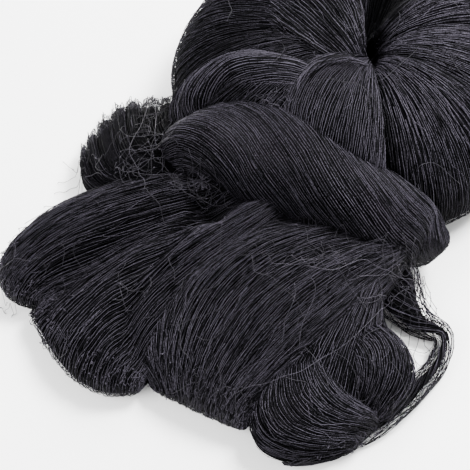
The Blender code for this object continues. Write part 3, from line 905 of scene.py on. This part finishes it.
def nylon_group():
    """Black nylon: tone picks between the dark and the light of the twine, cloudy dye and dust move both,
    and fine filament lines give the height."""
    tree = bpy.data.node_groups.new("nylon_finish", "ShaderNodeTree")
    link = tree.links.new
    for name, kind, value in (
        ("Tone", "Float", 0.5), ("Dark", "Color", (0.01, 0.01, 0.012, 1)),
        ("Light", "Color", (0.05, 0.05, 0.06, 1)), ("Smooth", "Float", 0.35), ("Rough", "Float", 0.6),
    ):
        made = tree.interface.new_socket(name=name, in_out="INPUT", socket_type="NodeSocket" + kind)
        made.default_value = value
    for name, kind in (("Color", "Color"), ("Roughness", "Float"), ("Height", "Float")):
        tree.interface.new_socket(name=name, in_out="OUTPUT", socket_type="NodeSocket" + kind)
    inside, outside = tree.nodes.new("NodeGroupInput"), tree.nodes.new("NodeGroupOutput")
    place = tree.nodes.new("ShaderNodeTexCoord")
    cloud = add_node(tree, "ShaderNodeTexNoise", Scale=45.0, Detail=3.0, Roughness=0.6)
    grain = add_node(tree, "ShaderNodeTexNoise", Scale=1250.0, Detail=2.0, Roughness=0.5)
    filament = add_node(tree, "ShaderNodeTexWave", Scale=420.0, Distortion=3.0, Detail=1.0)
    for texture in (cloud, grain, filament):
        link(place.outputs["Object"], texture.inputs["Vector"])
    spread = maths(tree, "MULTIPLY_ADD", cloud.outputs["Fac"], CLOUDS, LEVEL)
    specks = maths(tree, "MULTIPLY_ADD", grain.outputs["Fac"], SPECKS, spread)
    mix = add_node(tree, "ShaderNodeMix", data_type="RGBA")
    link(maths(tree, "MULTIPLY", specks, inside.outputs["Tone"], use_clamp=True), mix.inputs["Factor"])
    link(inside.outputs["Dark"], mix.inputs[6])
    link(inside.outputs["Light"], mix.inputs[7])
    link(mix.outputs[2], outside.inputs["Color"])
    rough = tree.nodes.new("ShaderNodeMapRange")
    link(grain.outputs["Fac"], rough.inputs["Value"])
    link(inside.outputs["Smooth"], rough.inputs["To Min"])
    link(inside.outputs["Rough"], rough.inputs["To Max"])
    link(rough.outputs["Result"], outside.inputs["Roughness"])
    link(maths(tree, "ADD", filament.outputs["Fac"], grain.outputs["Fac"]), outside.inputs["Height"])
    return tree


def nylon(group, name, dark, light, smooth, rough, shine, bump, striped=False):
    """A finish of the nylon group. A striped one draws fine threads by noise stretched along the flow."""
    finish = bpy.data.materials.new(name)
    finish.use_nodes = True
    tree = finish.node_tree
    link, shader = tree.links.new, tree.nodes["Principled BSDF"]
    look = add_node(
        tree, "ShaderNodeGroup", node_tree=group, Dark=(*dark, 1), Light=(*light, 1),
        Smooth=smooth, Rough=rough,
    )
    tone = add_node(tree, "ShaderNodeAttribute", attribute_name="tone").outputs["Fac"]
    relief = add_node(tree, "ShaderNodeBump", Strength=bump, Distance=0.0002)
    link(look.outputs["Color"], shader.inputs["Base Color"])
    link(look.outputs["Roughness"], shader.inputs["Roughness"])
    link(look.outputs["Height"], relief.inputs["Height"])
    if striped:
        flow = add_node(tree, "ShaderNodeAttribute", attribute_name="flow")
        threads = add_node(
            tree, "ShaderNodeTexNoise", noise_dimensions="2D", Scale=2.6, Detail=1.0, Roughness=0.5
        )
        lines = tree.nodes.new("ShaderNodeMapRange")
        lines.inputs["From Min"].default_value, lines.inputs["From Max"].default_value = 0.48, 0.66
        ridges = add_node(tree, "ShaderNodeBump", Strength=0.9, Distance=0.0007)
        link(flow.outputs["Vector"], threads.inputs["Vector"])
        link(threads.outputs["Fac"], lines.inputs["Value"])
        link(threads.outputs["Fac"], ridges.inputs["Height"])
        link(relief.outputs["Normal"], ridges.inputs["Normal"])
        tone, relief = maths(tree, "MULTIPLY", lines.outputs["Result"], tone), ridges
    link(tone, look.inputs["Tone"])
    link(relief.outputs["Normal"], shader.inputs["Normal"])
    shader.inputs["Specular IOR Level"].default_value = shine
    shader.inputs["IOR"].default_value = 1.53
    return finish


def finishes(look):
    """The three finishes of the hank, made once."""
    if "twine" not in bpy.data.materials:
        group, dark, light = nylon_group(), np.array(tuple(look.dark)), np.array(tuple(look.light))
        nylon(group, "twine", dark, light, smooth=0.42, rough=0.65, shine=0.04, bump=0.25)
        # painted shade: the net under the threads is a darker copy of the twine, for the shade that fills the
        # gaps between threads
        nylon(group, "under_net", 0.3 * dark, 0.16 * light, smooth=0.8, rough=0.95, shine=0.01, bump=0.4,
              striped=True)
        nylon(group, "stray_twine", 0.15 * light, 0.95 * light, smooth=0.35, rough=0.55, shine=0.12, bump=0.2)
    return {name: bpy.data.materials[name] for name in ("twine", "under_net", "stray_twine")}


def home():
    """The collection that holds the dressed pieces."""
    found = bpy.data.collections.get("netting")
    if found is None:
        found = bpy.data.collections.new("netting")
        bpy.context.scene.collection.children.link(found)
    return found


# ---- settings and operators


class NettingLook(bpy.types.PropertyGroup):
    twine: bpy.props.FloatProperty(
        name="Twine", description="Diameter of the twine in millimetres", default=0.43, min=0.2, max=2.0)
    spacing: bpy.props.FloatProperty(
        name="Spacing", description="Distance between neighbouring threads in millimetres",
        default=1.5, min=0.8, max=5)
    mesh_length: bpy.props.FloatProperty(
        name="Mesh length", description="Length of one pulled-tight mesh in millimetres",
        default=14.0, min=6, max=60)
    looseness: bpy.props.FloatProperty(
        name="Looseness", description="How far the meshes open sideways, as a share of the spacing",
        default=0.3, min=0, max=2, subtype="FACTOR")
    dark: bpy.props.FloatVectorProperty(
        name="Dark twine", description="Colour of the darkest twine",
        default=(0.0006, 0.0006, 0.0009), size=3, subtype="COLOR", min=0, max=1)
    light: bpy.props.FloatVectorProperty(
        name="Light twine", description="Colour of the lightest twine",
        default=(0.0388, 0.0350, 0.0460), size=3, subtype="COLOR", min=0, max=1)


class NettingStage(bpy.types.PropertyGroup):
    floor: bpy.props.FloatVectorProperty(
        name="Floor", description="Colour of the floor",
        default=(0.95, 0.95, 0.95), size=3, subtype="COLOR", min=0, max=1)
    key: bpy.props.FloatProperty(
        name="Key light", description="Power of the main light", default=74.0, min=0, unit="POWER")
    fill: bpy.props.FloatProperty(
        name="Fill light", description="Power of the filling light", default=30.0, min=0, unit="POWER")
    sky: bpy.props.FloatProperty(
        name="Sky", description="Strength of the even light from all round", default=1.4, min=0, max=10)


class NETTING_OT_bun(bpy.types.Operator):
    """The folded mass at the back, its twine running out of the dimple"""

    bl_idname = "netting.bun"
    bl_label = "Folded mass"

    def execute(self, context):
        look, finish = context.scene.netting_look, finishes(context.scene.netting_look)
        form = forms()["bun"]
        body = Heap()
        theta, q = np.linspace(0, TURN, 220, endpoint=False)[None, :], np.linspace(0, 0.93, 54)[:, None]
        closed_skin(body, form.skin(theta, q, SINK), form.grain(theta, q), form.open_to(theta, q))
        skin = body.piece("bun_under", finish["under_net"])
        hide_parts("hank")
        random = np.random.default_rng(form.seed + 1)
        for order, (layer, count) in enumerate(zip(LAYERS, THREADS["bun"])):
            heap = Heap()
            a = (np.arange(count) + random.uniform(-0.2, 0.2, count)) / count * TURN
            start = np.resize(BUN_STARTS, count) + random.uniform(0, 0.12, count)
            end = random.uniform(0.86, 0.92, count)
            if layer == "crossing":
                start = random.uniform(0.08, 0.72, count)
                end = np.minimum(start + random.uniform(0.1, 0.24, count), end)
            lay(heap, "bun", layer, a, start, end, look, form.seed + 2 + 20 * order, curl=0.6)
            heap.piece("bun_net_" + layer, finish["twine"])
        return {"FINISHED"}


class NETTING_OT_folds(bpy.types.Operator):
    """The four folded ends in front, the loose bundle and the small fan over the mass"""

    bl_idname = "netting.folds"
    bl_label = "Folded ends"

    def execute(self, context):
        look, finish = context.scene.netting_look, finishes(context.scene.netting_look)
        for name in FOLDS:
            form, body = forms()[name], Heap()
            fold_skin(body, form, *((44, 30) if name in SMALL else (64, 44)))
            body.piece(name + "_under", finish["under_net"])
            random = np.random.default_rng(form.seed + 1)
            heap = Heap()
            for step, (layer, count) in enumerate(zip(LAYERS, THREADS[name])):
                b = np.radians(np.linspace(-87, 87, count) + random.uniform(-0.3, 0.3, count))
                start = random.uniform(0.0, 0.06, count)
                end = np.where(np.abs(b) > 0.8, 2.2, random.uniform(1.75, 1.95, count))
                if layer == "crossing":
                    start = random.uniform(0.0, 1.2, count)
                    end = np.minimum(start + random.uniform(0.25, 0.55, count), end)
                lay(heap, name, layer, b, start, end, look, form.seed + 3 + 50 * step, curl=1.0)
            heap.piece(name + "_net", finish["twine"])
        return {"FINISHED"}


class NETTING_OT_rolls(bpy.types.Operator):
    """The turn of net that wraps the hank, the arch beside it and the tail"""

    bl_idname = "netting.rolls"
    bl_label = "Wrap, arch and tail"

    def execute(self, context):
        look, finish = context.scene.netting_look, finishes(context.scene.netting_look)
        for name, (_, _, turns, _, curl, wander, sink) in ROLLS.items():
            form, body = forms()[name], Heap()
            psi = np.linspace(0, TURN, 96 if name == "wrap" else 48, endpoint=False)[None, :]
            cap = np.linspace(0, ROLL_CAP, 7)[1:]
            q = np.concatenate([-cap[::-1], np.linspace(0, 1, 60), 1 + cap])[:, None]
            closed_skin(body, form.skin(psi, q, sink), form.grain(psi, q))
            body.piece(name + "_under", finish["under_net"])
            random = np.random.default_rng(form.seed + 1)
            heap = Heap()
            for step, (layer, count) in enumerate(zip(LAYERS, THREADS[name])):
                psi = (np.arange(count) + random.uniform(-0.2, 0.2, count)) / count * TURN
                start = random.uniform(-ROLL_CAP, -0.07, count)
                end = random.uniform(1.07, 1 + ROLL_CAP, count)
                lay(heap, name, layer, psi, start, end, look, form.seed + 3 + 50 * step,
                    curl=curl, wander=wander, sway=TURN * turns)
            heap.piece(name + "_net", finish["twine"])
        return {"FINISHED"}


def cloth(form):
    """The loose end's own cloth: two pleated faces 1.2 mm apart and the rim between them. Its free edge is
    cut back a little by the wrap."""
    v = np.linspace(0, 1, 113)[None, :]
    s = np.linspace(0, 1, 20)[:, None] * (0.98 - 0.08 * np.clip((v - 0.66) / 0.1, 0, 1))
    middle = form.at(v, s) + (0, 0, 1) * form.relief(v, s)[..., None]
    top, low = middle + (0, 0, 0.3), middle - (0, 0, 0.9)
    rows, n = middle.shape[:2]
    j, i = np.meshgrid(np.arange(rows - 1), np.arange(n - 1), indexing="ij")
    k, shift = j * n + i, rows * n
    over = np.stack([k, k + 1, k + n + 1, k + n], -1).reshape(-1, 4)
    under = (over + shift)[:, ::-1]
    edge = np.concatenate([
        np.arange(n), np.arange(1, rows) * n + n - 1, (rows - 1) * n + np.arange(n - 2, -1, -1),
        np.arange(rows - 2, 0, -1) * n,
    ])
    after = np.roll(edge, -1)
    rim = np.stack([edge, edge + shift, after + shift, after], -1)
    grain = form.grain(v, s).reshape(-1, 3)
    body = Heap()
    body.add(
        np.concatenate([top.reshape(-1, 3), low.reshape(-1, 3)]), np.concatenate([over, under, rim]),
        np.zeros((0, 3)), np.tile((form.open_to(v, s) * light_on(middle)).reshape(-1), 2),
        np.concatenate([grain, grain]),
    )
    return body


class NETTING_OT_loose_end(bpy.types.Operator):
    """The pleated loose end of the net"""

    bl_idname = "netting.loose_end"
    bl_label = "Pleated loose end"

    def execute(self, context):
        look, finish = context.scene.netting_look, finishes(context.scene.netting_look)
        form = forms()["loose_end"]
        sheet = cloth(form).piece("loose_end_under", finish["under_net"])
        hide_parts("fan_end")
        random = np.random.default_rng(form.seed + 1)
        heap = Heap()
        for step, (layer, count) in enumerate(zip(LAYERS, THREADS["loose_end"])):
            a = np.clip((np.arange(count) + random.uniform(-0.3, 0.3, count) + 0.5) / count, 0.004, 0.996)
            start = np.resize(LOOSE_END_STARTS, count) + random.uniform(0.0, 0.1, count)
            end = random.uniform(0.96, 1.02, count)
            lay(heap, "loose_end", layer, a, start, end, look, form.seed + 3 + 20 * step, wander=0.3)
        heap.piece("loose_end_net", finish["twine"])
        return {"FINISHED"}


def drawn(rows):
    """One thread's plan points along the smooth line through the rows, six for each of them."""
    return spline(rows, np.linspace(0, 1, 6 * len(rows)))[None]


def star(heap, look, random):
    """Loops round a middle: each a sine arc of its own reach that leaves and comes back."""
    t = np.linspace(0, 1, 18)
    way = np.arange(PETALS) / PETALS * TURN + random.normal(0, 0.2, PETALS)
    angle = way[:, None] + random.uniform(0.25, 0.5, (PETALS, 1)) * (2 * t - 1)
    reach = random.uniform(5, 9, (PETALS, 1)) * np.sin(math.pi * t) ** 0.8
    plan = np.array(STAR) + heading(angle) * reach[..., None]
    drape(heap, plan, THIN["star"] * look.twine, random.uniform(0.9, 1.3, PETALS), random, most=STAR_TOP)


def short_threads(heap, row, look, random):
    """Short loose threads at random: walks whose way turns evenly, with noise. None crosses the wrap, goes
    over 5 mm past the solids' box or lies beside the hank."""
    left, right, front, back, count, length, lightest = row
    start = np.stack([random.uniform(left, right, count), random.uniform(front, back, count)], -1)
    turn = random.uniform(0, TURN, (count, 1))
    turn = turn + random.normal(0, 0.9, (count, 1)) * np.linspace(-1, 1, 16)
    turn = turn + 0.5 * noise(np.linspace(0, 4, 16)[None, :], np.arange(count)[:, None] * 1.7, WINDS)
    pace = random.uniform(0.4, 1.3, (count, 1, 1)) * length / 15
    plan = start[:, None] + np.cumsum(heading(turn) * pace, axis=1)
    low, high = np.array(CAD_BOX)[:, :2] / MM
    clear = (heights()["wrap"][0][cells(plan)] < 0).all(axis=1)
    clear &= ((plan > low - 5) & (plan < high + 5)).all(axis=(1, 2)) & (skyline(plan) > 8).all(axis=1)
    tone = random.uniform(0.1, lightest, clear.sum())
    drape(heap, plan[clear], THIN["short"] * look.twine, tone, random)


def fold_fringe(heap, name, count, low, high, look, random):
    """Frayed bits round a fold's tip: short arcs that stand out by a sine of their length."""
    form, t = forms()[name], np.linspace(0, 1, 8)
    b, q = np.radians(random.uniform(low, high, count)), random.uniform(1.0, 1.5, count)
    b = b[:, None] + random.normal(0, 0.035, (count, 1)) * (t - 0.5)
    q = q[:, None] + random.normal(0, 0.12, (count, 1)) * (t - 0.5)
    out = random.uniform(0.5, 3.4, (count, 1)) * np.sin(math.pi * t) ** 0.8
    path = form.at(b, q) + form.normal(b, q) * out[..., None] + random.normal(0, 0.35, (count, 8, 3))
    path = np.maximum(path, LOW_TWINE)
    tubes(heap, path, THIN["frayed"] * look.twine, random.uniform(0.2, 0.9, count))
    tie(heap, path, random.uniform(0.2, 0.9, (count, 1)), "frayed", TIES)


def edge_fringe(heap, count, look, random):
    """Small loops along the free edge of the loose end."""
    form, t = forms()["loose_end"], np.linspace(0, 1, 8)
    v, s = random.uniform(0, 1, (count, 1)), random.uniform(0.9, 1.0, (count, 1))
    v = np.clip(v + random.normal(0, 0.012, (count, 1)) * (2 * t - 1), 0, 1)
    s = s + random.uniform(0.01, 0.06, (count, 1)) * np.sin(math.pi * t)
    path = np.maximum(form.at(v, s) + random.normal(0, 0.2, (count, 8, 3)) + (0, 0, 0.5), LOW_TWINE)
    tubes(heap, path, THIN["edge"] * look.twine, random.uniform(0.0, 0.4, count))


class NETTING_OT_strays(bpy.types.Operator):
    """Loose threads over the hank: the long ones, the tangle by the wrap, short ones at random and fringes"""

    bl_idname = "netting.strays"
    bl_label = "Loose threads"

    def execute(self, context):
        look, finish = context.scene.netting_look, finishes(context.scene.netting_look)
        random = np.random.default_rng(601)
        heap = Heap()
        for rows in LONG_STRAYS:
            # painted highlight: strays that start in front (y under 0) are painted lighter than those behind,
            # as glints
            tone = random.uniform(0.3, 0.65) + (0.25 if rows[0][1] < 0 else -0.1)
            drape(heap, drawn(rows), THIN["long"] * look.twine, tone, random)
        for rows in FLOOR_THREADS:
            drape(heap, drawn(rows), THIN["cut"] * look.twine, random.uniform(0.0, 0.3), random)
        star(heap, look, random)
        heap.piece("long_strays", finish["stray_twine"])
        heap = Heap()
        for row in CURLS:
            curls(heap, row, look, random)
        heap.piece("curls", finish["stray_twine"])
        heap = Heap()
        rope(heap, ROPE, 14, 2.4, 1.6, look, random)
        open_net(heap, TAIL_NET, 12, 7, 3.0, look, random)
        heap.piece("rope_and_open_net", finish["twine"])
        heap = Heap()
        for row in SHORT_STRAYS:
            short_threads(heap, row, look, random)
        heap.piece("short_strays", finish["stray_twine"])
        heap = Heap()
        for row in FRINGES:
            fold_fringe(heap, *row, look, random)
        edge_fringe(heap, 260, look, random)
        heap.piece("fringe", finish["twine"])
        return {"FINISHED"}


# The stage, in metres. Lamps: name, place, size, the setting that gives their power.
FLOOR_LEVEL, FLOOR_CORNERS = -0.0003, ((-4, -4), (4, -4), (4, 4), (-4, 4))
LAMPS = (
    ("key", (0.55, 0.35, 1.1), 0.45, "key"), ("fill", (-0.8, -0.5, 0.9), 0.9, "fill"),
    ("back", (0.2, 1.0, 0.9), 0.8, "fill"),
)
LAMP_AIM = (0, 0, 0.03)
CAMERA_AIM, CAMERA_AWAY, CAMERA_TILT = (-0.025, -0.012, 0.030), 0.783, 58  # point, distance, degrees down
LENS = 100.0, 36.0  # focal length and sensor width in mm


class NETTING_OT_stage(bpy.types.Operator):
    """Floor, lights and camera"""

    bl_idname = "netting.stage"
    bl_label = "Stage"

    def execute(self, context):
        stage = context.scene.netting_stage
        mesh = bpy.data.meshes.new("floor")
        mesh.from_pydata([(x, y, FLOOR_LEVEL) for x, y in FLOOR_CORNERS], [], [(0, 1, 2, 3)])
        floor = bpy.data.objects.new("floor", mesh)
        context.scene.collection.objects.link(floor)
        paint = bpy.data.materials.new("floor_paint")
        paint.use_nodes = True
        shader = paint.node_tree.nodes["Principled BSDF"]
        shader.inputs["Base Color"].default_value = (*stage.floor, 1)
        shader.inputs["Roughness"].default_value = 0.9
        mesh.materials.append(paint)
        world = bpy.data.worlds.new("studio")
        world.use_nodes = True
        world.node_tree.nodes["Background"].inputs["Color"].default_value = (1, 1, 1, 1)
        world.node_tree.nodes["Background"].inputs["Strength"].default_value = stage.sky
        context.scene.world = world
        for name, place, size, setting in LAMPS:
            lamp = bpy.data.lights.new(name, "AREA")
            lamp.energy, lamp.size = getattr(stage, setting), size
            obj = bpy.data.objects.new(name, lamp)
            context.scene.collection.objects.link(obj)
            way = unit(np.array(LAMP_AIM) - place)
            obj.location = place
            obj.rotation_euler = (math.acos(-way[2]), 0, math.atan2(-way[0], way[1]))
        camera = bpy.data.cameras.new("camera")
        camera.lens, camera.sensor_width = LENS
        camera.clip_start, camera.clip_end = 0.01, 20.0
        view = bpy.data.objects.new("camera", camera)
        context.scene.collection.objects.link(view)
        tilt, (x, y, z) = math.radians(CAMERA_TILT), CAMERA_AIM
        view.location = (x, y - CAMERA_AWAY * math.cos(tilt), z + CAMERA_AWAY * math.sin(tilt))
        view.rotation_euler = (QUARTER - tilt, 0, 0)
        context.scene.camera = view
        return {"FINISHED"}


class NETTING_PT_panel(bpy.types.Panel):
    """Lists the steps of the hank"""

    bl_idname = "NETTING_PT_panel"
    bl_label = "Netting"
    bl_space_type = "VIEW_3D"
    bl_region_type = "UI"
    bl_category = "Netting"

    def draw(self, context):
        for group in (context.scene.netting_look, context.scene.netting_stage):
            for key in group.__annotations__:
                self.layout.prop(group, key)
        for step in STEPS:
            self.layout.operator(step.bl_idname)


STEPS = (
    NETTING_OT_bun, NETTING_OT_folds, NETTING_OT_rolls, NETTING_OT_loose_end, NETTING_OT_strays,
    NETTING_OT_stage,
)
CLASSES = (NettingLook, NettingStage, *STEPS, NETTING_PT_panel)


def register():
    for cls in CLASSES:
        bpy.utils.register_class(cls)
    bpy.types.Scene.netting_look = bpy.props.PointerProperty(type=NettingLook)
    bpy.types.Scene.netting_stage = bpy.props.PointerProperty(type=NettingStage)


def unregister():
    del bpy.types.Scene.netting_stage
    del bpy.types.Scene.netting_look
    for cls in reversed(CLASSES):
        bpy.utils.unregister_class(cls)


def main():
    register()
    for step in STEPS:
        area, verb = step.bl_idname.split(".")
        getattr(getattr(bpy.ops, area), verb)()


if __name__ == "__main__":
    main()
